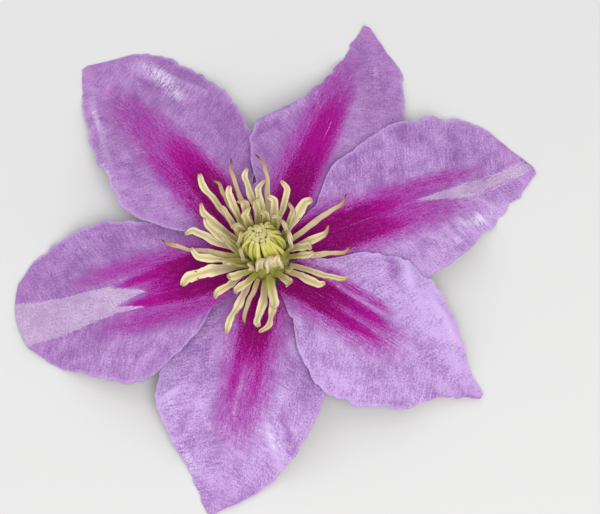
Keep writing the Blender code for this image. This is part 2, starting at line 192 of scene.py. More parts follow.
# The rows below are hills round a place: first folds of the sheet, then crumpled places that get
# a painted highlight (painted near-white) and small crumples, where height is how strongly.
Hill = namedtuple("Hill", "along side long wide height slant")
HILLS = {
    "back_left": (
        (0.8, -12.0, 8.0, 1.5, 0.8, 0.3), (0.68, -14.6, 6.0, 1.0, 0.5, 0.35),
        (0.88, -8.5, 5.0, 1.1, 0.5, 0.3), (0.8, 6.2, 8.0, 0.7, 0.55, -0.55),
        (0.68, 9.6, 7.0, 0.6, 0.5, -0.4), (0.55, -3.0, 16.0, 7.0, 0.5, 0.0),
    ),
    "back": (
        (0.5, 10.5, 5.0, 1.0, 0.8, -0.9), (0.42, 12.0, 5.0, 0.8, -0.5, -0.6),
        (0.6, 6.0, 6.0, 0.9, 0.55, -0.5), (0.62, -8.0, 14.0, 4.0, -0.6, 0.0),
        (0.52, -13.0, 7.0, 0.8, 0.5, 0.2),
    ),
    "right": (
        (0.64, -9.6, 3.4, 0.8, 0.5, -1.6), (0.7, -8.0, 3.4, 0.7, 0.5, -1.5),
        (0.76, -6.8, 3.0, 0.7, 0.5, -1.5), (0.82, -5.4, 2.8, 0.6, 0.5, -1.4),
        (0.55, 12.0, 12.0, 4.0, 0.5, 0.0), (0.8, 2.0, 14.0, 1.4, -0.35, 0.0),
    ),
    "front_right": (
        (0.5, 13.5, 3.5, 1.3, 1.2, -0.9), (0.45, 12.2, 3.6, 1.0, -0.8, -0.8),
        (0.7, 10.2, 5.0, 0.9, 0.7, -0.3), (0.8, 7.6, 4.0, 0.7, 0.5, -0.3),
        (0.8, -6.0, 8.0, 2.0, 0.4, 0.2), (0.62, -12.0, 5.0, 0.8, 0.5, 0.9),
    ),
    "front": (
        (0.7, 9.5, 6.0, 0.9, 0.6, 0.55), (0.76, 11.5, 6.0, 0.7, 0.5, 0.6),
        (0.66, 12.5, 5.0, 0.7, -0.35, 0.6), (0.62, -9.0, 9.0, 3.0, 0.45, -0.2),
        (0.74, -9.0, 4.0, 0.7, 0.5, -1.0), (0.6, -13.5, 4.0, 0.7, 0.5, -1.0),
    ),
    "left": (
        (0.75, 2.0, 16.0, 4.5, 0.45, 0.0), (0.55, 12.0, 8.0, 3.0, 0.5, 0.2),
        (0.62, -9.0, 10.0, 2.5, 0.4, 0.0), (0.5, 14.5, 5.0, 0.7, 0.5, 0.9),
        (0.66, 12.5, 5.0, 0.7, 0.45, 0.9),
    ),
}
GLINTS = {
    "back_left": (
        (0.79, -11.2, 6.0, 2.0, 1.1, 0.1), (0.68, -10.6, 3.6, 1.5, 0.7, 0.3),
        (0.79, 6.4, 5.5, 0.8, 0.8, -0.35), (0.6, 13.4, 4.0, 1.1, 0.9, -0.5),
        (0.6, 4.6, 5.0, 1.2, 0.45, 0.0),
    ),
    "back": ((0.8, -7.0, 7.0, 1.0, 0.4, 0.6), (0.56, 6.5, 5.0, 0.8, 0.35, -0.6)),
    "right": ((0.73, -6.9, 5.6, 1.5, 1.0, 0.22), (0.6, -11.0, 4.0, 1.0, 0.5, 0.5)),
    "front_right": ((0.79, 6.4, 4.0, 0.8, 0.6, -0.9), (0.79, -8.5, 4.0, 0.9, 0.5, 0.7)),
    "front": (
        (0.7, 10.0, 4.0, 1.6, 0.9, 0.9), (0.82, -6.6, 4.4, 1.1, 0.8, 0.9),
        (0.64, -12.6, 4.0, 0.9, 0.6, 0.6),
    ),
    "left": ((0.6, 15.6, 5.0, 0.9, 0.4, -0.2), (0.7, -11.0, 5.0, 0.9, 0.4, 0.5)),
}

# ---- stamens: sizes in millimetres ----

# Half-widths, half-thickness, the share of its length where the pollen sacs start, and how far it
# strays from its line.
Kind = namedtuple("Kind", "base shaft anther tip thick anther_from loose")
KINDS = {
    "stamen_cream": Kind(0.5, 0.62, 0.86, 0.52, 0.25, 0.34, 0.2),
    "stamen_green": Kind(0.62, 0.8, 0.94, 0.44, 0.46, 0.4, 0.2),
    "stamen_withered": Kind(0.46, 0.52, 0.44, 0.14, 0.22, 0.5, 0.3),
}
# Stamens whose strap is wider than the others', and by how much.
BROAD = {"outer_05": 1.3, "outer_15": 1.5, "outer_19": 1.15, "outer_20": 1.1, "middle_07": 1.2,
         "middle_16": 1.35, "inner_01": 1.1, "inner_02": 1.1, "inner_10": 0.95, "inner_11": 1.2,
         "inner_12": 1.1}
# How far up its length a stamen is flushed green, by whorl.
GREEN_UP_TO = {"outer": 0.28, "middle": 0.56, "inner": 0.8}
# Stamens with dark flecks, and where along them these sit.
FLECKED = {"outer_05": 0.52, "outer_07": 0.58, "outer_15": 0.74}
# A place past any tip, for stamens without flecks.
NOWHERE = 9.0
# Corners in a ring of a stamen's solid, and the height near which its first ring lies.
SOLID_SIDES = 6
ROOTS_HEIGHT = 9.5
STAMEN_STEPS = 44
STAMEN_SIDES = 20
STAMEN_GROOVE = 0.75
SACS_THICKNESS = np.array([0.9, 1.0, 1.0, 0.9, 0.5])
STAMEN_SQUARENESS = 0.48
# Random unevenness of a stamen: which draws, and length.
SWAYS, LIFTS, TWISTS = (1000, 2.7), (1200, 2.4), (1600, 5.0)
BULGES, RIPPLES = (1400, 1.4), (1500, 0.5)

# ---- pistil and stalk: sizes in millimetres ----

# Half-section of the pistil: distance out from the axis and height.
PISTIL_SECTION = ((2.2, 13.2), (3.3, 14.1), (3.9, 15.2), (4.1, 16.5), (3.85, 17.9), (3.1, 19.3),
                  (2.1, 20.5), (1.25, 21.4), (0.75, 22.2))
# Shift of the tuft from the axis, where the stigmas meet, and the heights between which it grows.
TUFT_LEAN = np.array([-1.3, 0.3, 0.0])
LEAN_FROM_TO = (14.0, 21.5)
# Rings of styles from the outside in: share of the section's width, share of the styles, half
# width of a style, how high along the section it starts and how far up it ends.
Ring = namedtuple("Ring", "reach portion wide start end")
STYLE_RINGS = (Ring(1.0, 0.31, 0.54, 0.0, 0.88), Ring(0.86, 0.31, 0.5, 0.08, 0.95),
               Ring(0.64, 0.22, 0.44, 0.22, 1.0), Ring(0.38, 0.16, 0.36, 0.45, 1.02))
STYLE_STEPS = 30
STYLE_SIDES = 14
STYLE_GROOVE = 0.15
# The green heart behind the styles.
HEART_STEPS = HEART_SIDES = 24
HEART_REACH, HEART_TOP, HEART_DROP = 0.6, 0.3, 0.4
HEART_GRAIN = 777.0

# Half-section of the stalk with its head, from the top down to the cut.
STALK_SECTION = ((0.02, 12.8), (1.4, 12.62), (2.8, 12.05), (3.9, 11.1), (4.7, 9.9), (5.05, 8.9),
                 (4.95, 8.15), (4.2, 7.35), (2.7, 6.5), (1.7, 5.7), (1.28, 4.6), (1.1, 3.0),
                 (1.08, 1.9), (1.14, 1.25), (1.06, 1.03))
STALK_ROWS = 120
STALK_SIDES = 96
STALK_RIBS = 8
CUT_RINGS = (0.82, 0.5, 0.2)
HAIR_WIDTH = 0.022
HAIR_ROOT = 0.08
# Lowest and highest of each random value of a hair: height, bearing, slope, length and bend.
HAIR_RANGES = ((1.5, 8.0), (0, 2 * math.pi), (-0.5, 0.5), (0.35, 0.8), (-0.15, 0.15))

# ---- stage ----

FLOOR_HALF = 1.5
CAMERA_ELEVATION = 70.0
CAMERA_DISTANCE = 420 * MM
CAMERA_LENS = 119.2
LOOK_AT = np.array([7.2, 0.0, 8.5]) * MM
SKY, SKY_STRENGTH = (0.95, 0.97, 1.0, 1.0), 0.6
# Lamps: where they stand from the flower in metres, power in watts, and colour.
LAMP_SIZE = 0.5
LAMPS = {
    "key": ((0.1, -0.34, 0.58), 2.6, (1.0, 0.985, 0.96)),
    "fill": ((-0.45, 0.3, 0.4), 0.6, (0.95, 0.97, 1.0)),
}


def span(name, description, default, low, high):
    """A length that a user would change, given in millimetres."""
    return FloatProperty(name=name, description=description, default=default * MM, min=low * MM,
                         max=high * MM, unit="LENGTH", precision=5)


def count(name, description, default, low, high):
    """A whole number that a user would change."""
    return IntProperty(name=name, description=description, default=default, min=low, max=high)


class FlowerSizes(bpy.types.PropertyGroup):
    tepal_thickness: span("Tepal thickness", "Thickness along the middle", 0.36, 0.1, 0.5)
    frill: span("Frill", "How far the margins rise and fall", 0.45, 0.0, 1.0)
    scallop: span("Scallop", "How far the margins run in and out", 0.75, 0.0, 1.5)
    rows: count("Rows", "Mesh rows from a tepal's root to its tip", 190, 20, 300)
    columns: count("Columns", "Mesh columns across a tepal", 120, 12, 200)
    styles: count("Styles", "Number of styles in the pistil", 58, 6, 90)
    stalk_hairs: count("Stalk hairs", "Number of fine hairs on the stalk", 420, 0, 2000)


def paint(name, description, default):
    """A colour that a user would change."""
    return FloatVectorProperty(name=name, description=description, default=default, size=3,
                               min=0.0, max=1.0, subtype="COLOR")


class FlowerColours(bpy.types.PropertyGroup):
    lilac: paint("Lilac", "Body of the tepals", (0.44, 0.245, 0.56))
    lilac_light: paint("Light lilac", "Palest parts of the tepals", (0.66, 0.45, 0.84))
    mauve: paint("Mauve", "Deeper mottling of the tepals", (0.3, 0.13, 0.4))
    blush: paint("Blush", "Rosy tint of the tepals", (0.42, 0.15, 0.44))
    heart: paint("Heart", "Darkest part of the bars", (0.235, 0.0003, 0.125))
    magenta: paint("Magenta", "Body of the bars", (0.37, 0.0025, 0.25))
    rose: paint("Rose", "Feathered edges of the bars", (0.4, 0.05, 0.4))
    rose_light: paint("Light rose", "Flecks within the bars", (0.42, 0.1, 0.42))
    # Painted highlight on the crumpled places near the margins.
    painted_highlight: paint("Silver", "Crumpled places near the margins", (0.82, 0.7, 0.92))
    pale: paint("Pale streak", "Streaks without pigment", (0.5, 0.33, 0.57))
    pale_light: paint("Pale flecks", "Flecks in the streaks", (0.68, 0.52, 0.72))
    underside: paint("Underside", "Backs of the tepals", (0.56, 0.44, 0.6))
    cream: paint("Cream", "Pollen sacs", (0.8, 0.67, 0.32))
    filament: paint("Filament", "Stamen shafts", (0.6, 0.47, 0.36))
    yellow_green: paint("Yellow green", "Bases of the stamens", (0.62, 0.54, 0.09))
    withered: paint("Withered", "Dried stamens", (0.46, 0.22, 0.05))
    stalk: paint("Stalk", "Skin of the stalk", (0.16, 0.17, 0.045))
    floor: paint("Floor", "Surface that the flower lies on", (0.78, 0.77, 0.76))


# Colours of small marks.
RIB = (0.42, 0.3, 0.26)
STRAW = (0.62, 0.5, 0.31)
# Painted reflection of the lilac tepals on the stamen shafts.
LILAC_BOUNCE = (0.45, 0.3, 0.3)
LEAF = (0.33, 0.32, 0.012)
DRY_STRAW = (0.66, 0.54, 0.31)
CHARRED = (0.04, 0.02, 0.012)
DRY_SPOT = (0.1, 0.05, 0.02)
POLLEN = (0.96, 0.87, 0.57)
# Painted shade in the groove down a stamen's middle.
GROOVE_SHADE = (0.42, 0.35, 0.13)
# Painted highlight near a stamen's rims; RIM_SHADE is painted shade on its edges.
RIM_HIGHLIGHT = (0.95, 0.87, 0.62)
RIM_SHADE = (0.27, 0.22, 0.06)
RUST = (0.32, 0.14, 0.04)
TIP_BROWN = (0.4, 0.21, 0.07)
SPECK = (0.45, 0.24, 0.08)
FLECK = (0.035, 0.018, 0.006)
STYLE_DEEP = (0.16, 0.2, 0.003)
STYLE_YELLOW = (0.62, 0.56, 0.06)
STYLE_SILK = (0.8, 0.73, 0.2)
STYLE_WARM = (0.82, 0.75, 0.3)
# Painted highlight along a style's middle, and painted shade in the gaps between styles.
STYLE_HIGHLIGHT = (0.9, 0.84, 0.4)
STYLE_GAP_SHADE = (0.24, 0.26, 0.008)
STIGMA = (0.7, 0.62, 0.3)
STALK_PURPLE = (0.2, 0.09, 0.05)
STALK_LIGHT = (0.3, 0.3, 0.11)
HEAD_DEEP, HEAD_LIGHT = (0.26, 0.26, 0.02), (0.48, 0.46, 0.08)
PITH_DEEP, PITH_LIGHT = (0.5, 0.48, 0.26), (0.66, 0.62, 0.4)


# ---- curves and noise ----

LINE_DRAWS = 512
PLANE_DRAWS = 64
# Places are moved on by this many lengths, so that they count up from the same draws.
LINE_START, PLANE_START = 100.0, 40.0


def even(count, first=0, last=1):
    """Evenly spaced values from the first to the last."""
    return np.linspace(first, last, count)


def round_turn(count):
    """Evenly spaced angles of one whole turn."""
    return np.linspace(0, 2 * math.pi, count, endpoint=False)


def joined(*parts):
    """Points or vectors from their coordinates."""
    return np.stack(parts, axis=-1)


def smooth(share):
    return share * share * (3.0 - 2.0 * share)


def ramp(value, low, high):
    """0 up to low, 1 from high, and a smooth rise between them."""
    return smooth(np.clip((np.asarray(value, float) - low) / (high - low), 0.0, 1.0))


def through(stations, values, where):
    """A smooth curve through values given at stations, read at where."""
    stations, values = np.asarray(stations, float), np.asarray(values, float)
    slopes = np.gradient(values, stations)
    index = np.clip(np.searchsorted(stations, where) - 1, 0, len(stations) - 2)
    span = stations[index + 1] - stations[index]
    t = np.clip((where - stations[index]) / span, 0.0, 1.0)
    rise = values[index + 1] - values[index]
    leave, arrive = slopes[index] * span, slopes[index + 1] * span
    return values[index] + t * leave + t * t * (3 * rise - 2 * leave - arrive) \
        + t ** 3 * (leave + arrive - 2 * rise)


def noise_line(seed, where, length):
    """Smooth random values from -1 to 1 along a line, one new value per length."""
    values = np.random.default_rng(seed).uniform(-1, 1, LINE_DRAWS)
    place = np.asarray(where, float) / length + LINE_START
    whole = np.floor(place).astype(int)
    share = smooth(place - whole)
    return values[whole % LINE_DRAWS] * (1 - share) + values[(whole + 1) % LINE_DRAWS] * share


def noise_plane(seed, x, y, length):
    """Smooth random values from -1 to 1 over a plane."""
    values = np.random.default_rng(seed).uniform(-1, 1, (PLANE_DRAWS, PLANE_DRAWS))
    px, py = (np.asarray(place, float) / length + PLANE_START for place in (x, y))
    ix, iy = np.floor(px).astype(int), np.floor(py).astype(int)
    fx, fy = smooth(px - ix), smooth(py - iy)

    def row(j):
        here, beyond = values[ix % PLANE_DRAWS, j], values[(ix + 1) % PLANE_DRAWS, j]
        return here * (1 - fx) + beyond * fx

    return row(iy % PLANE_DRAWS) * (1 - fy) + row((iy + 1) % PLANE_DRAWS) * fy


# ---- meshes ----


def in_scene(name, data):
    """An object that holds this data, linked into the scene."""
    thing = bpy.data.objects.new(name, data)
    bpy.context.scene.collection.objects.link(thing)
    return thing


def new_piece(name, points, faces, node, materials, material_index=None):
    """A mesh object in metres that rides with the flower and stands for one of its solids."""
    mesh = bpy.data.meshes.new(name)
    mesh.from_pydata([tuple(p) for p in points], [], faces)
    mesh.validate()
    mesh.update()
    for material in materials:
        mesh.materials.append(material)
    if material_index is not None:
        mesh.polygons.foreach_set("material_index", material_index)
    mesh.polygons.foreach_set("use_smooth", [True] * len(mesh.polygons))
    thing = in_scene(name, mesh)
    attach(thing, "root")
    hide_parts(node)
    return thing


def keep(thing, **values):
    """Stores per-point numbers that the materials read."""
    for name, numbers in values.items():
        numbers = np.asarray(numbers, float)
        kind, field = ("FLOAT_VECTOR", "vector") if numbers.ndim == 2 else ("FLOAT", "value")
        stored = thing.data.attributes.new(name, kind, "POINT")
        stored.data.foreach_set(field, numbers.ravel())


def grid_faces(rows, columns, start=0, closed=False):
    """Quads over a grid of points; closed joins the last column to the first."""
    faces = []
    for i in range(rows - 1):
        for j in range(columns if closed else columns - 1):
            k = (j + 1) % columns
            here, above = start + i * columns, start + (i + 1) * columns
            faces.append((here + j, here + k, above + k, above + j))
    return faces


def cap_faces(rows, sides):
    """Fans that close a tube's first and last rows onto two points added at the end."""
    end, last = rows * sides, (rows - 1) * sides
    return [(end, (j + 1) % sides, j) for j in range(sides)] \
        + [(end + 1, last + j, last + (j + 1) % sides) for j in range(sides)]


def facing_out(points, faces):
    """Turns the faces round if they look inwards."""
    fans = [(face[0], b, c) for face in faces for b, c in zip(face[1:], face[2:])]
    a, b, c = np.asarray(points)[np.array(fans)].transpose(1, 0, 2)
    volume = (a * np.cross(b, c)).sum()
    return faces if volume > 0 else [face[::-1] for face in faces]


# ---- shader maths ----


class Sock:
    """A shader socket, on which arithmetic adds Math nodes."""

    def __init__(self, kit, socket):
        self.kit, self.socket = kit, socket

    def __add__(self, other):
        return self.kit.math("ADD", self, other)

    def __mul__(self, other):
        return self.kit.math("MULTIPLY", self, other)

    def __sub__(self, other):
        return self.kit.math("SUBTRACT", self, other)

    def __rsub__(self, other):
        return self.kit.math("SUBTRACT", other, self)

    __radd__, __rmul__ = __add__, __mul__

    def clamp(self):
        return self.kit.node("ShaderNodeClamp", {}, self, 0.0, 1.0)

    def step(self, low, high):
        """0 up to low, 1 from high, smooth between."""
        return self.kit.node("ShaderNodeMapRange", {"interpolation_type": "SMOOTHSTEP"}, self,
                             low, high, 0.0, 1.0)


class Kit:
    """Builds one material's nodes."""

    def __init__(self, name, roughness, **fixed):
        self.material = bpy.data.materials.new(name)
        self.material.use_nodes = True
        self.tree = self.material.node_tree
        self.shader = self.tree.nodes["Principled BSDF"]
        self.feed(Roughness=roughness, **fixed)

    def join(self, socket, value):
        if isinstance(value, Sock):
            self.tree.links.new(value.socket, socket)
        else:
            socket.default_value = (*value, 1.0) if socket.type == "RGBA" else value

    def feed(self, **values):
        """Gives the shader's sockets their values or links."""
        for name, value in values.items():
            self.join(self.shader.inputs[name.replace("_", " ")], value)

    def node(self, kind, settings, *values, out=None, **named):
        """A node: its settings, then its sockets in order or by name. Returns one output."""
        made = self.tree.nodes.new(kind)
        for key, value in settings.items():
            setattr(made, key, value)
        for socket, value in zip([s for s in made.inputs if s.enabled], values):
            self.join(socket, value)
        for key, value in named.items():
            self.join(made.inputs[key], value)
        return Sock(self, made.outputs[out] if out else next(s for s in made.outputs if s.enabled))

    def math(self, operation, *values):
        return self.node("ShaderNodeMath", {"operation": operation}, *values)

    def kept(self, name, out="Fac"):
        return self.node("ShaderNodeAttribute", {"attribute_name": name}, out=out)

    @cached_property
    def grain(self):
        return self.kept("grain", "Vector")

    def noise(self, scale, detail=3.0, rough=0.55):
        """Noise over the stored grain. Three scales in place of one draw it out into streaks."""
        vector = self.grain
        if isinstance(scale, tuple):
            vector = self.node("ShaderNodeVectorMath", {"operation": "MULTIPLY"}, vector, scale)
            scale = 1.0
        return self.node("ShaderNodeTexNoise", {}, Vector=vector, Scale=scale, Detail=detail,
                         Roughness=rough)

    def mix(self, amount, first, second):
        return self.node("ShaderNodeMix", {"data_type": "RGBA"}, amount, first, second)

    def coats(self, base, *coats):
        """Lays coats over a colour, each where its mask says."""
        for mask, colour in coats:
            base = self.mix(mask, base, colour)
        return base

    def finish(self, colour, roughness, height, strength, distance):
        self.feed(Base_Color=colour, Roughness=roughness)
        self.feed(Normal=self.node("ShaderNodeBump", {}, Strength=strength, Distance=distance * MM,
                                   Height=height))
        return self.material


def tepal_face_material(colours):
    """Mottled lilac with a feathered magenta bar, and fine veins that run out to the margin."""
    kit = Kit("tepal_face", 0.5, Specular_IOR_Level=0.06, Coat_Roughness=0.38)
    bar, pale, glint = kit.kept("bar"), kit.kept("pale"), kit.kept("glint")
    fine = kit.noise(3.0, 2.0, 0.6) - 0.5
    blotch = kit.noise(0.3, 4.0, 0.6) - 0.5
    speck = kit.noise(4.6, 1.0, 0.5)
    veins = kit.noise((1.9, 0.42, 1.0), rough=0.6) - 0.5
    streaks = kit.noise((0.3, 2.0, 1.0), rough=0.6) - 0.5
    fibres = kit.noise((0.5, 3.2, 1.0), rough=0.6) - 0.5

    tone = 0.45 + kit.kept("glow") + fine * 2.3 + veins * 1.2 + blotch * 1.6
    rosy = kit.kept("rosy") * (0.6 + fine * 2.4 + blotch * 1.5)
    glint_highlight = glint * (0.65 + veins * 2.4 + fine * 1.6)
    feathered = bar + (fine * 1.7 + streaks * 0.5 + fibres * 0.9) * bar.step(0.0, 0.3)
    heart = kit.kept("root") * 1.3 + fibres * 1.3 + fine * 0.6 + streaks * 0.8 - 0.25
    streaked = pale + (streaks * 1.6 + fine * 1.1 + fibres * 0.8) * pale.step(0.02, 0.3)
    unpigmented = kit.mix((fine * 1.5 + blotch).step(-0.2, 0.3), colours.pale, colours.pale_light)
    face = kit.coats(
        colours.mauve,
        (tone.step(0.0, 0.55), colours.lilac),
        (tone.step(0.45, 1.15), colours.lilac_light),
        (rosy.clamp(), colours.blush),
        (kit.kept("margin").step(0.93, 1.0) * 0.45, colours.lilac_light),
        # Painted highlight: the crumpled places are painted near-white.
        (glint_highlight.step(0.06, 1.05) * 0.85, colours.painted_highlight),
        (feathered.step(0.04, 0.5) * 0.85, colours.rose),
        (feathered.step(0.34, 0.9), colours.magenta),
        (heart.step(0.1, 0.85) * feathered.step(0.55, 1.0), colours.heart),
        (speck.step(0.6, 0.74) * bar.step(0.35, 0.75) * 0.3, colours.rose_light),
        (streaked.step(0.26, 0.86) * 0.95, unpigmented))
    kit.feed(Coat_Weight=(1 - bar.step(0.0, 0.4)) * 0.1 + glint * 0.12)
    return kit.finish(face, 0.5 + fine * 0.3, veins * 0.8 + streaks * 0.3 + fine * 0.9, 0.7, 0.18)


def tepal_back_material(colours):
    """Paler back with greenish-rose ribs."""
    kit = Kit("tepal_underside", 0.62, Sheen_Weight=0.35, Sheen_Roughness=0.5)
    veins = kit.noise((1.5, 0.25, 1.0))
    fine = kit.noise(1.6, 2.0, 0.6)
    back = kit.coats(
        colours.mauve,
        ((veins + fine - 0.6).clamp(), colours.underside),
        (kit.kept("rib").step(0.15, 0.9) * 0.7, RIB),
        (kit.kept("bar").step(0.2, 0.9) * 0.35, colours.rose))
    return kit.finish(back, 0.55 + fine * 0.2, veins + fine * 0.6, 0.5, 0.12)


def stamen_material(colours, slot):
    """Flat strap: shaft, pollen sacs with a painted highlight near the rims and painted shade on
    the edges, and a tip that browns where withered.
    """
    kit = Kit(slot, 0.5, Sheen_Weight=0.1, Specular_IOR_Level=0.3)
    up, rim, green = kit.kept("up"), kit.kept("rim"), kit.kept("green")
    streaks = kit.noise((0.35, 3.0, 3.0))
    patch = kit.noise((0.5, 0.8, 1.0), 2.0, 0.5)
    fine = kit.noise(3.0, 2.0, 0.6)
    rough = fine - 0.5
    tip = up + rough * 0.1
    flushed = (green - up + (streaks - 0.5) * 0.4).step(-0.12, 0.36)
    leafy = kit.mix(streaks.step(0.3, 0.75), LEAF, colours.yellow_green)
    # Painted reflection: greyish-lilac patches from the tepals, on the shafts.
    lilac_bounce = patch.step(0.45, 0.7) * (1 - green.step(0.3, 0.6)) * 0.5
    shaft = kit.coats(colours.filament, (streaks.step(0.3, 0.75), STRAW), (lilac_bounce, LILAC_BOUNCE))
    if slot == "stamen_withered":
        strap = kit.coats(
            DRY_STRAW,
            (streaks.step(0.35, 0.7), shaft),
            (flushed * 0.8, leafy),
            (rim.step(0.8, 0.98) * up.step(0.35, 0.7) * 0.7, colours.withered),
            ((up + rough * 0.4).step(0.7, 0.98) * 0.85, colours.withered),
            (tip.step(0.93, 0.99), CHARRED),
            (patch.step(0.62, 0.7) * fine.step(0.45, 0.6), DRY_SPOT))
        return kit.finish(strap, 0.55 + fine * 0.2, streaks, 0.6, 0.1)
    sacs = kit.mix(streaks.step(0.35, 0.7), colours.cream, POLLEN)
    outlined = rim.step(0.86, 0.97) * up.step(0.25, 0.8) * streaks.step(0.4, 0.54)
    strap = kit.coats(
        shaft,
        ((up + (patch - 0.5) * 0.5).step(0.3, 0.62) * kit.kept("shade"), sacs),
        # Painted shade: the groove down the strap's middle is painted darker.
        ((1 - rim).step(0.5, 0.96) * 0.55, GROOVE_SHADE),
        (flushed * 0.85, leafy),
        # Painted highlight near the rims, then painted shade on the very edges.
        (rim.step(0.62, 0.86) * up.step(0.1, 0.5) * 0.7, RIM_HIGHLIGHT),
        (rim.step(0.9, 1.0) * 0.55, RIM_SHADE),
        (outlined * (0.9 - green.step(0.55, 0.8) * 0.65), RUST),
        (tip.step(0.94, 1.0) * 0.65, TIP_BROWN),
        (fine.step(0.66, 0.74) * up.step(0.4, 0.8) * 0.25, SPECK),
        ((kit.kept("fleck") + rough * 1.6).step(0.72, 0.86), FLECK))
    return kit.finish(strap, 0.45 + fine * 0.2, streaks * 0.7 + fine * 0.4, 0.6, 0.1)


def pistil_material():
    """Silky yellow-green styles with creamy stigmas where they meet, a painted highlight along each
    style's middle and painted shade in the gaps between them.
    """
    kit = Kit("pistil_yellow", 0.5, Sheen_Weight=0.15, Specular_IOR_Level=0.3)
    up, rim = kit.kept("up"), kit.kept("rim")
    streaks = kit.noise((0.3, 3.2, 3.2))
    fine = kit.noise(3.2, 2.0, 0.6)
    silk = kit.coats(
        STYLE_DEEP,
        ((up + (streaks - 0.5) * 0.8).step(0.0, 0.6), STYLE_YELLOW),
        (streaks.step(0.45, 0.75) * 0.6, STYLE_SILK),
        (kit.kept("tint") * 0.4, STYLE_WARM),
        # Painted highlight along each style's upper middle, then painted shade in the gaps between.
        ((1 - rim).step(0.35, 0.95) * up.step(0.3, 0.7) * 0.5, STYLE_HIGHLIGHT),
        (rim.step(0.84, 1.0) * 0.75, STYLE_GAP_SHADE),
        ((up + (fine - 0.5) * 0.1).step(0.8, 0.95) * 0.8, STIGMA))
    return kit.finish(silk, 0.45 + fine * 0.2, streaks + fine * 0.4, 0.6, 0.08)


def stalk_material(colours):
    """Ribbed green skin flushed with purple-brown, and a paler pith at the cut."""
    kit = Kit("stalk_green", 0.6, Sheen_Weight=0.3)
    streaks = kit.noise((3.0, 3.0, 0.5))
    fine = kit.noise(2.6, 2.0, 0.6)
    mottle = fine.step(0.3, 0.7)
    skin = kit.coats(
        colours.stalk,
        (streaks.step(0.35, 0.75), STALK_PURPLE),
        (fine.step(0.4, 0.8) * 0.4, STALK_LIGHT),
        (kit.kept("head").step(0.3, 0.8), kit.mix(mottle, HEAD_DEEP, HEAD_LIGHT)),
        (kit.kept("cut").step(0.4, 0.6), kit.mix(mottle, PITH_DEEP, PITH_LIGHT)))
    return kit.finish(skin, 0.5 + fine * 0.25, streaks + fine * 0.6, 0.6, 0.1)


# ---- tepals ----


def bed(radius):
    """Height of the surface on which the tepals lie."""
    share = radius / BED_REACH
    return BED_HEIGHT + BED_RISE * share - BED_FALL * share ** BED_FALL_POWER


def stripes(marks, share, side, soft_end):
    """Strength of a tepal's stripes at each point, 0 where there are none."""
    total = np.zeros_like(side)
    for mark in map(Stripe._make, marks):
        t = (share - mark.along) / (mark.end - mark.along)
        inside = np.clip(t, 0.0, 1.0)
        middle = mark.side + (mark.end_side - mark.side) * inside
        width = mark.width + (mark.end_width - mark.width) * inside
        across = 1 - ramp(np.abs(side - middle), width - mark.feather, width + mark.feather)
        ends = (1 - ramp(t, 1 - soft_end, 1 + soft_end)) * ramp(t, -0.1, 0.04)
        total = np.maximum(total, across * ends * mark.strength)
    return total


def mounds(marks, along, across, length):
    """Each hill of a table with how high it stands at each point."""
    for hill in map(Hill._make, marks):
        far, off = along - hill.along * length, across - hill.side
        turn = math.atan(hill.slant)
        down = far * math.cos(turn) + off * math.sin(turn)
        beside = off * math.cos(turn) - far * math.sin(turn)
        yield hill, hill.height * np.exp(-(down / hill.long) ** 2 - (beside / hill.wide) ** 2)


def margin_noise(draws, layers, left, along):
    """Layers of noise along both margins, each margin with draws of its own."""
    return np.where(left, *(sum(noise_line(draws + margin + extra, along, length) * strength
                                for extra, length, strength in layers) for margin in (1, 2)))


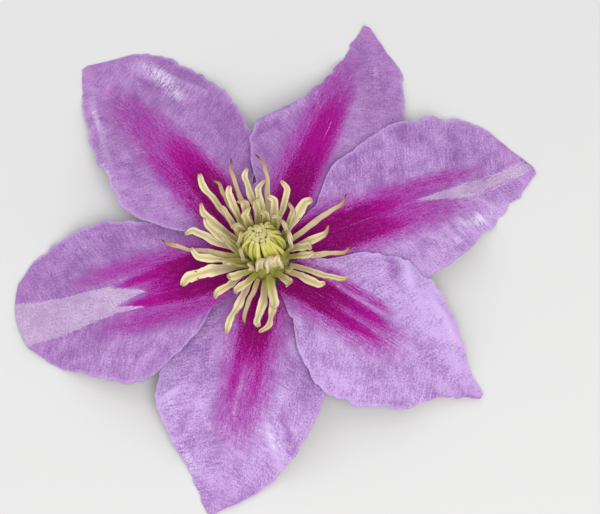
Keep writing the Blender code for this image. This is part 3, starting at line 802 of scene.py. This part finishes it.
def tepal_sheet(tepal, seed, room_left, room_right, sizes):
    """Middle surface of a tepal in millimetres about the axis, and what its materials read."""
    spread = even(sizes.columns, -1)
    spread = np.sin(spread * math.pi / 2) * CROWDING + spread * (1 - CROWDING)
    u, v = np.meshgrid(even(sizes.rows), spread, indexing="ij")
    draws = seed * 7
    is_left = v > 0
    edge = np.abs(v)
    along = TEPAL_ROOT + (tepal.length - TEPAL_ROOT) * u
    share = along / tepal.length
    free = ramp(share, *FREE_FROM_TO)
    side = np.where(is_left, through(STATIONS, tepal.left, share),
                    through(STATIONS, tepal.right, share))
    room = np.where(is_left, room_left, room_right)
    side = np.maximum(side, along * np.tan(room) * ROOT_OVERLAP * (1 - free))

    # The margin runs in and out in uneven scallops.
    scallop = margin_noise(draws, SCALLOPS, is_left, along) * sizes.scallop / MM
    side = side + scallop * free * (1 - ramp(share, 0.93, 1.0)) * edge ** 5

    from_rib = v * side
    across = from_rib + tepal.bow * ramp(share, 0.15, 0.5) * (1 - ramp(share, 0.55, 1.0))
    to_tip = ramp(share, TIP_FROM, 1.0)
    end_line = noise_line(draws + 5, across, 3.2) * 4.0
    along = along - tepal.blunt * (tepal.length * v * v - end_line) * to_tip

    radius = np.hypot(along, across)
    height = bed(radius) * (1 - to_tip) + tepal.tip * to_tip
    lift = EDGE_LIFT * ramp(radius, *LIFT_FROM_TO)
    lift = lift * (1 - (1 - LIFT_AT_TIP) * ramp(share, 0.7, 0.95))
    over = np.where(is_left, tepal.left_edge, tepal.right_edge)
    height += over * lift * ramp(edge, 0.2, 0.95)
    wave = np.sin(2 * math.pi * along / MARGIN_WAVE_LENGTH + tepal.bearing)
    height += MARGIN_WAVE * wave * edge ** 3 * ramp(share, 0.35, 0.6)

    # Frilled margins, ribs, folds and the fine quilting between veins.
    frill = margin_noise(draws, FRILLS, is_left, along) * sizes.frill / MM
    height += frill * edge ** 4 * free
    slanted = along - VEIN_SLANT * np.abs(from_rib)
    crinkle = noise_line(draws + 3, slanted, CRINKLE_LENGTH)
    height += CRINKLE * crinkle * ramp(edge, 0.45, 0.95) * free
    quilt = noise_plane(seed, along, across * 0.6, QUILT_LENGTH)
    height += QUILT * quilt * ramp(share, 0.2, 0.4)
    swell = noise_plane(seed + 40, along, across, SWELL_LENGTH)
    height += SWELL * swell * ramp(share, 0.3, 0.6)
    rib = np.zeros_like(u)
    for place, strength in RIBS:
        away = from_rib - place * side * (1 - 0.4 * share)
        near = np.exp(-(away / RIB_WIDTH) ** 2) * strength
        rib = np.maximum(rib, near * (1 - ramp(share, 0.75, 1.0)))
    height -= RIB_DEPTH * rib * ramp(share, 0.12, 0.25)
    crest = np.zeros_like(u)
    for hill, rise in mounds(HILLS[tepal.name], along, across, tepal.length):
        height += rise
        # Narrow fold crests, for their painted highlight.
        crest += rise * (hill.wide < BROAD_HILL)
    # Crumpled places: small crumples here, and a painted highlight in the face material.
    glint = sum(rise for _, rise in mounds(GLINTS[tepal.name], along, across, tepal.length))
    height += CRUMPLE * glint * noise_line(draws + 4, slanted, CRUMPLE_LENGTH)
    above = height - LOWEST_SHEET
    height = LOWEST_SHEET + 0.5 * (above + np.sqrt(above ** 2 + GROUND_SOFTNESS ** 2))

    # Glow holds painted light: whole tepals lighter or darker, and paler narrow fold crests.
    glow = tepal.light + tepal.left_lighter * v + crest * CREST_SHINE
    glow += ramp(radius, 22, 50) * 0.18
    marks = {
        "bar": stripes(BARS[tepal.name], share, across, 0.3),
        "pale": stripes(PALE[tepal.name], share, across, 0.08),
        "glow": glow + 0.2 * noise_plane(seed + 9, along, across, 8.0),
        "margin": edge, "rib": rib, "glint": glint,
        "root": 1 - ramp(share, 0.2, 0.62),
        "rosy": tepal.rosy + 0.3 * ramp(share, 0.85, 1.0),
        "grain": joined(slanted, across, np.full_like(u, seed * SEED_STEP)),
    }
    thick = sizes.tepal_thickness / MM * (1 - 0.62 * ramp(edge, 0.55, 1.0))
    thick = thick * (1 - 0.55 * ramp(share, 0.85, 1.0)) + 0.05 * rib
    turn = math.radians(tepal.bearing)
    points = joined(along * math.cos(turn) - across * math.sin(turn),
                    along * math.sin(turn) + across * math.cos(turn), height)
    return points, thick[..., None], marks


def normals_of(points):
    """Upward normals of a grid of points."""
    normal = np.cross(np.gradient(points, axis=0), np.gradient(points, axis=1))
    normal /= np.linalg.norm(normal, axis=-1, keepdims=True) + 1e-12
    return np.where(normal[..., 2:3] < 0, -normal, normal)


class MakeTepals(bpy.types.Operator):
    """Makes the six tepals as thin frilled sheets with a face and an underside"""

    bl_idname = "clematis.make_tepals"
    bl_label = "Make tepals"

    def execute(self, context):
        sizes, colours = context.scene.flower_sizes, context.scene.flower_colours
        face, back = tepal_face_material(colours), tepal_back_material(colours)
        count = sizes.rows * sizes.columns
        under = grid_faces(sizes.rows, sizes.columns)
        grid = np.arange(count).reshape(sizes.rows, sizes.columns)
        ring = [*grid[0], *grid[1:, -1], *grid[-1, -2::-1], *grid[-2:0:-1, 0]]
        rim = [(a + count, b + count, b, a) for a, b in zip(ring, ring[1:] + ring[:1])]
        top = [quad[::-1] for quad in under]
        faces = top + [tuple(k + count for k in quad) for quad in under] + rim
        index = [0] * len(top) + [1] * len(under) + [0] * len(rim)
        for seed, tepal in enumerate(TEPALS, 1):
            before, after = TEPALS[seed - 2], TEPALS[seed % len(TEPALS)]
            room_left = math.radians((before.bearing - tepal.bearing) % 360 / 2)
            room_right = math.radians((tepal.bearing - after.bearing) % 360 / 2)
            points, thick, marks = tepal_sheet(tepal, seed, room_left, room_right, sizes)
            normal = normals_of(points)
            placed = np.concatenate([(points + normal * thick * half).reshape(-1, 3)
                                     for half in (0.5, -0.5)]) * MM + AXIS
            placed[:, 2] = np.maximum(placed[:, 2], LOWEST_POINT * MM)
            node = f"tepal_{tepal.name}"
            piece = new_piece(f"{node}_sheet", placed, faces, node, (face, back),
                              index)
            keep(piece, **{name: np.concatenate([value.reshape(count, -1)] * 2).squeeze()
                           for name, value in marks.items()})
        return {"FINISHED"}


# ---- stamens, pistil and stalk ----


def middle_line(node):
    """Points along a stamen's solid, from its base to its tip."""
    mesh = frame["nodes"][node].data
    points = np.array([vertex.co for vertex in mesh.vertices])
    # Corners that lie in one place count as the first of them.
    same = {}
    first = [same.setdefault(tuple(np.round(p / (0.001 * MM)).astype(int)), i)
             for i, p in enumerate(points)]
    beside = {i: set() for i in first}
    for edge in mesh.edges:
        a, b = (first[k] for k in edge.vertices)
        if a != b:
            beside[a].add(b)
            beside[b].add(a)
    roots = AXIS + np.array([0, 0, ROOTS_HEIGHT * MM])
    near = sorted(beside, key=lambda i: np.linalg.norm(points[i] - roots))
    rings, seen = [set(near[:SOLID_SIDES])], set(near[:SOLID_SIDES])
    while following := {k for i in rings[-1] for k in beside[i]} - seen:
        seen |= following
        rings.append(following)
    return np.array([points[sorted(ring)].mean(axis=0) for ring in rings])


def resample(line, count):
    """The same line with evenly spaced points, softened through its corners, and its length."""
    steps = np.linalg.norm(np.diff(line, axis=0), axis=1)
    place = np.concatenate([[0], np.cumsum(steps)])
    where = even(count, 0, place[-1])
    return joined(*(through(place, values, where) for values in line.T)), place[-1]


def sweep(line, widths, thicks, side, sides, groove=0.0, twist=0.0, squareness=0.65):
    """A strap swept along a line: points, faces, how far along and how near the rims each is."""
    tangent = np.gradient(line, axis=0)
    tangent /= np.linalg.norm(tangent, axis=1, keepdims=True)
    side = side - tangent * (side * tangent).sum(axis=1, keepdims=True)
    side /= np.linalg.norm(side, axis=1, keepdims=True)
    up = np.cross(tangent, side)
    c, s = (np.broadcast_to(f(twist), len(line))[:, None] for f in (np.cos, np.sin))
    side, up = side * c + up * s, up * c - side * s
    turn = round_turn(sides)
    flat, tall = (np.sign(way) * np.abs(way) ** squareness for way in (np.cos(turn), np.sin(turn)))
    dent = 1 - groove * np.exp(-(flat / 0.5) ** 2)
    rings = line[:, None] + side[:, None] * (widths[:, None] * flat)[..., None] \
        + up[:, None] * (thicks[:, None] * tall * dent)[..., None]
    points = np.concatenate([rings.reshape(-1, 3), line[[0, -1]]])
    faces = grid_faces(len(line), sides, closed=True) + cap_faces(len(line), sides)
    along = np.concatenate([np.repeat(even(len(line)), sides), [0.0, 1.0]])
    rim = np.concatenate([np.tile(np.abs(flat), len(line)), [0.5, 0.5]])
    return points, facing_out(points - line.mean(axis=0), faces), along, rim


class MakeStamens(bpy.types.Operator):
    """Makes each stamen as a flat strap with two pollen sacs, along its own solid"""

    bl_idname = "clematis.make_stamens"
    bl_label = "Make stamens"

    def execute(self, context):
        materials = {slot: stamen_material(context.scene.flower_colours, slot) for slot in KINDS}
        slots = {part["node"]: part["material_slot"] for part in frame["record"]["subparts"]}
        stamens = [node for node in slots if node.startswith("stamen_")]
        t = even(STAMEN_STEPS)
        for number, node in enumerate(stamens):
            rng = np.random.default_rng(STAMEN_DRAWS + number)
            place, slot = node.removeprefix("stamen_"), slots[node]
            kind = KINDS[slot]
            line, length = resample(middle_line(node), STAMEN_STEPS)

            def uneven(draws, waves):
                return noise_line(draws + number, t * length / MM, waves)

            # Small bends and a hooked tip.
            around = joined(AXIS[1] - line[:, 1], line[:, 0] - AXIS[0], 0 * t)
            loose = kind.loose * ramp(t, 0.15, 0.5)
            hook = ramp(t, 0.84, 1.04) ** 1.5
            sway = uneven(*SWAYS) * loose + hook * rng.uniform(0.6, 2.1) * rng.choice((-1, 1))
            lift = uneven(*LIFTS) * loose + hook * rng.uniform(-0.4, 1.1)
            across = around / (np.linalg.norm(around, axis=1, keepdims=True) + 1e-9)
            line = line + across * sway[:, None] * MM
            line[:, 2] += lift * MM

            size = rng.uniform(0.92, 1.08)
            stations = (0.0, 0.15, kind.anther_from, kind.anther_from + 0.18, 0.86, 0.97, 1.0)
            width = np.interp(t, stations, (kind.base, kind.shaft, kind.shaft * 1.08, kind.anther,
                                            kind.anther * 0.92, kind.tip, kind.tip * 0.6))
            thick = np.interp(t, stations, (0.36, 0.26, *kind.thick * SACS_THICKNESS))
            bulge = 1 + 0.12 * uneven(*BULGES) + 0.05 * uneven(*RIPPLES)
            points, faces, up, rim = sweep(
                line, width * bulge * BROAD.get(place, 1.0) * size * MM, thick * size * MM, around,
                STAMEN_SIDES, STAMEN_GROOVE, uneven(*TWISTS) * 0.8, STAMEN_SQUARENESS)
            piece = new_piece(f"{node}_strap", points, faces, node, (materials[slot],))
            same = np.ones(len(points))
            shade = rng.uniform(0.75, 1.0)
            green = GREEN_UP_TO[place.split("_")[0]] * rng.uniform(0.8, 1.2)
            fleck = np.exp(-((up - FLECKED.get(place, NOWHERE)) / 0.045) ** 2
                           - ((rim - 0.75) / 0.3) ** 2)
            keep(piece, up=up, rim=rim, shade=same * shade, green=same * green, fleck=fleck,
                 grain=joined(up * length / MM, rim * 2.0, same * number * 9.0))
        return {"FINISHED"}


def leaning(line):
    """Leans a line of the pistil towards its tuft."""
    return line + TUFT_LEAN * ramp(line[:, 2], *LEAN_FROM_TO)[:, None]


class MakePistil(bpy.types.Operator):
    """Makes the pistil: styles that rise in a dome and meet in a tuft of stigmas"""

    bl_idname = "clematis.make_pistil"
    bl_label = "Make pistil"

    def execute(self, context):
        rng = np.random.default_rng(PISTIL_DRAWS)
        out_of, rise_of = np.array(PISTIL_SECTION).T
        place = even(len(PISTIL_SECTION))
        t = even(STYLE_STEPS)
        points, faces, marks = [], [], []

        def add(line, width, thick, side, sides, groove, grain, lit=1.0, tint=0.0):
            swept, some, up, rim = sweep(line, width, thick, side, sides, groove)
            start = sum(len(p) for p in points)
            faces.extend(tuple(k + start for k in face) for face in some)
            points.append(swept)
            same = np.ones(len(swept))
            marks.append(joined(up * lit, rim * lit, same * tint, up * 9.0, rim * 2.0,
                                same * grain))

        for which, ring in enumerate(STYLE_RINGS):
            number = max(3, round(context.scene.flower_sizes.styles * ring.portion))
            for i in range(number):
                bearing = 2 * math.pi * (i + 0.5 * which + rng.uniform(-0.3, 0.3)) / number
                end = ring.end - rng.uniform(0.0, 0.12)
                along = ring.start + (end - ring.start) * t
                inside = np.minimum(along, 1.0)
                out = through(place, out_of, inside) * ring.reach * rng.uniform(0.86, 1.05)
                out = out + 0.45 * ramp(t, 0.86, 1.0)
                rise = through(place, rise_of, inside) + 1.2 * np.maximum(along - 1.0, 0.0)
                sway = bearing + rng.uniform(-0.6, 0.6) * t ** 2
                sway = sway + noise_line(i + 300, t, 0.4) * 0.06
                curl = rng.uniform(-0.55, 0.55, 3) * np.array([1, 1, 0.6])
                line = leaning(joined(out * np.cos(sway), out * np.sin(sway), rise))
                line += curl * ramp(t, 0.88, 1.0)[:, None]
                side = joined(-np.sin(sway), np.cos(sway), 0 * t)
                grow = rng.uniform(0.78, 1.12)
                width = np.interp(t, (0, 0.3, 0.55, 0.85, 0.95, 1.0),
                                  (0.44, ring.wide, ring.wide * 0.95, 0.36, 0.36, 0.2))
                thick = np.interp(t, (0, 0.4, 0.85, 1.0), (0.4, 0.54, 0.34, 0.18))
                add(line, width * grow, thick * grow, side, STYLE_SIDES, STYLE_GROOVE,
                    i * 5.0 + which * 90, tint=rng.uniform(0.0, 1.0))
        heart = even(HEART_STEPS)
        radius = through(place, out_of, heart) * HEART_REACH
        radius[-1] = HEART_TOP
        line = joined(0 * heart, 0 * heart, through(place, rise_of, heart) - HEART_DROP)
        add(leaning(line), radius, radius, joined(0 * heart, 0 * heart + 1, 0 * heart),
            HEART_SIDES, 0.0, HEART_GRAIN, lit=0.0)
        marks = np.concatenate(marks)
        piece = new_piece("pistil_styles", np.concatenate(points) * MM + AXIS, faces,
                          "pistil", (pistil_material(),))
        keep(piece, up=marks[:, 0], rim=marks[:, 1], tint=marks[:, 2], grain=marks[:, 3:])
        return {"FINISHED"}


def stalk_shell():
    """The stalk's ribbed skin, its rings on the cut face and two end points, in millimetres."""
    section = np.array(STALK_SECTION)
    place = even(len(section))
    t = even(STALK_ROWS)
    out, rise = (through(place, values, t)[:, None] for values in section.T)
    turn = round_turn(STALK_SIDES)
    ribs = 1 + 0.055 * ramp(-rise, -7.2, -5.5) * np.cos(turn * STALK_RIBS)
    rises = np.repeat(rise, STALK_SIDES, 1)
    bumps = 1 + 0.012 * noise_plane(BUMP_DRAWS, rises, np.tile(turn * 3, (STALK_ROWS, 1)), 0.8)
    radius = out * ribs * bumps
    shell = joined(radius * np.cos(turn), radius * np.sin(turn), rises)
    cuts = np.repeat(shell[-1:], len(CUT_RINGS), axis=0)
    inward = np.array(CUT_RINGS)[:, None]
    cuts[..., :2] *= inward[..., None]
    cuts[..., 2] += 0.05 * (1 - inward) + 0.02 * np.cos(turn * 5)
    ends = [[0, 0, section[0, 1] + 0.01], [0, 0, section[-1, 1] + 0.03]]
    return np.concatenate([shell.reshape(-1, 3), cuts.reshape(-1, 3), ends])


def stalk_hairs(count):
    """Fine hairs round the stalk: four points each, three at the root and one at the tip."""
    rng = np.random.default_rng(HAIR_DRAWS)
    low, high = np.array(HAIR_RANGES).T
    height, bearing, slope, length, bend = rng.uniform(low, high, (count, len(low))).T
    out = np.interp(height, *np.array(STALK_SECTION)[::-1].T[::-1])
    none = 0 * bearing
    way = joined(np.cos(bearing), np.sin(bearing), slope)
    base = joined(out * way[:, 0], out * way[:, 1], height)
    beside = joined(-way[:, 1], way[:, 0], none) * HAIR_WIDTH
    aside = np.cross(way, beside)
    aside *= HAIR_WIDTH / np.linalg.norm(aside, axis=1, keepdims=True)
    root = base - way * HAIR_ROOT
    tip = base + way * length[:, None] + joined(none, none, bend)
    return np.stack([root + beside, root - beside * 0.5 + aside, root - beside * 0.5 - aside, tip],
                    axis=1).reshape(-1, 3)


class MakeStalk(bpy.types.Operator):
    """Makes the short cut stalk with its domed head, ribs and fine hairs"""

    bl_idname = "clematis.make_stalk"
    bl_label = "Make stalk"

    def execute(self, context):
        rows = STALK_ROWS + len(CUT_RINGS)
        points = stalk_shell()
        faces = grid_faces(rows, STALK_SIDES, closed=True) + cap_faces(rows, STALK_SIDES)
        faces = facing_out(points - np.array([0, 0, 6.0]), faces)
        hairs = stalk_hairs(context.scene.flower_sizes.stalk_hairs)
        for k in range(len(points), len(points) + len(hairs), 4):
            faces += [(k, k + 1, k + 3), (k + 1, k + 2, k + 3), (k + 2, k, k + 3),
                      (k, k + 2, k + 1)]
        cut = np.zeros(len(points) + len(hairs))
        cut[STALK_ROWS * STALK_SIDES:rows * STALK_SIDES] = 1.0
        cut[len(points) - 1] = 1.0
        cut[len(points):] = 0.55
        points = np.concatenate([points, hairs])
        piece = new_piece("stalk_with_head", points * MM + AXIS, faces, "stalk",
                          (stalk_material(context.scene.flower_colours),))
        keep(piece, cut=cut, head=ramp(points[:, 2], 7.5, 9.5), grain=points)
        return {"FINISHED"}


# ---- stage ----


def aim(thing, place, target):
    """Puts a lamp or camera at a place, looking at a target with its top side up."""
    way = (target - place) / np.linalg.norm(target - place)
    right = np.cross(way, (0, 0, 1.0))
    right /= np.linalg.norm(right)
    turn = np.stack([right, np.cross(right, way), -way], axis=1)
    thing.matrix_world = Matrix([(*row, spot) for row, spot in zip(turn, place)]
                                + [(0.0, 0.0, 0.0, 1.0)])


class MakeStage(bpy.types.Operator):
    """Makes the floor, the lamps and the camera"""

    bl_idname = "clematis.make_stage"
    bl_label = "Make stage"

    def execute(self, context):
        scene = context.scene
        mesh = bpy.data.meshes.new("floor")
        corners = ((-1, -1), (1, -1), (1, 1), (-1, 1))
        mesh.from_pydata([(x * FLOOR_HALF, y * FLOOR_HALF, 0) for x, y in corners], [],
                         [(0, 1, 2, 3)])
        kit = Kit("floor_paint", 0.7)
        kit.feed(Base_Color=scene.flower_colours.floor)
        mesh.materials.append(kit.material)
        floor = in_scene("floor", mesh)

        scene.world = bpy.data.worlds.new("studio")
        scene.world.use_nodes = True
        backdrop = scene.world.node_tree.nodes["Background"]
        backdrop.inputs["Color"].default_value = SKY
        backdrop.inputs["Strength"].default_value = SKY_STRENGTH
        centre = AXIS + LOOK_AT
        for name, (place, power, colour) in LAMPS.items():
            data = bpy.data.lights.new(name, "AREA")
            data.shape = "DISK"
            data.size = LAMP_SIZE
            data.energy = power
            data.color = colour
            aim(in_scene(name, data), centre + np.array(place), centre)

        data = bpy.data.cameras.new("camera")
        data.lens = CAMERA_LENS
        data.sensor_width = 36.0
        data.clip_start = 0.01
        scene.camera = in_scene("camera", data)
        tilt = math.radians(CAMERA_ELEVATION)
        away = np.array([0.0, -math.cos(tilt), math.sin(tilt)]) * CAMERA_DISTANCE
        aim(scene.camera, centre + away, centre)
        scene.view_settings.view_transform = "Standard"
        return {"FINISHED"}


class FlowerPanel(bpy.types.Panel):
    bl_idname = "VIEW3D_PT_clematis"
    bl_label = "Clematis flower"
    bl_space_type = "VIEW_3D"
    bl_region_type = "UI"
    bl_category = "Clematis"

    def draw(self, context):
        for group in (context.scene.flower_sizes, context.scene.flower_colours):
            box = self.layout.box()
            for name in group.__annotations__:
                box.prop(group, name)
        for operator in OPERATORS:
            self.layout.operator(operator.bl_idname)


OPERATORS = (MakeTepals, MakeStamens, MakePistil, MakeStalk, MakeStage)
CLASSES = (FlowerSizes, FlowerColours, *OPERATORS, FlowerPanel)


def register():
    for cls in CLASSES:
        bpy.utils.register_class(cls)
    bpy.types.Scene.flower_sizes = PointerProperty(type=FlowerSizes)
    bpy.types.Scene.flower_colours = PointerProperty(type=FlowerColours)


def unregister():
    del bpy.types.Scene.flower_sizes
    del bpy.types.Scene.flower_colours
    for cls in reversed(CLASSES):
        bpy.utils.unregister_class(cls)


def main():
    register()
    bpy.ops.clematis.make_tepals()
    bpy.ops.clematis.make_stamens()
    bpy.ops.clematis.make_pistil()
    bpy.ops.clematis.make_stalk()
    bpy.ops.clematis.make_stage()


if __name__ == "__main__":
    main()
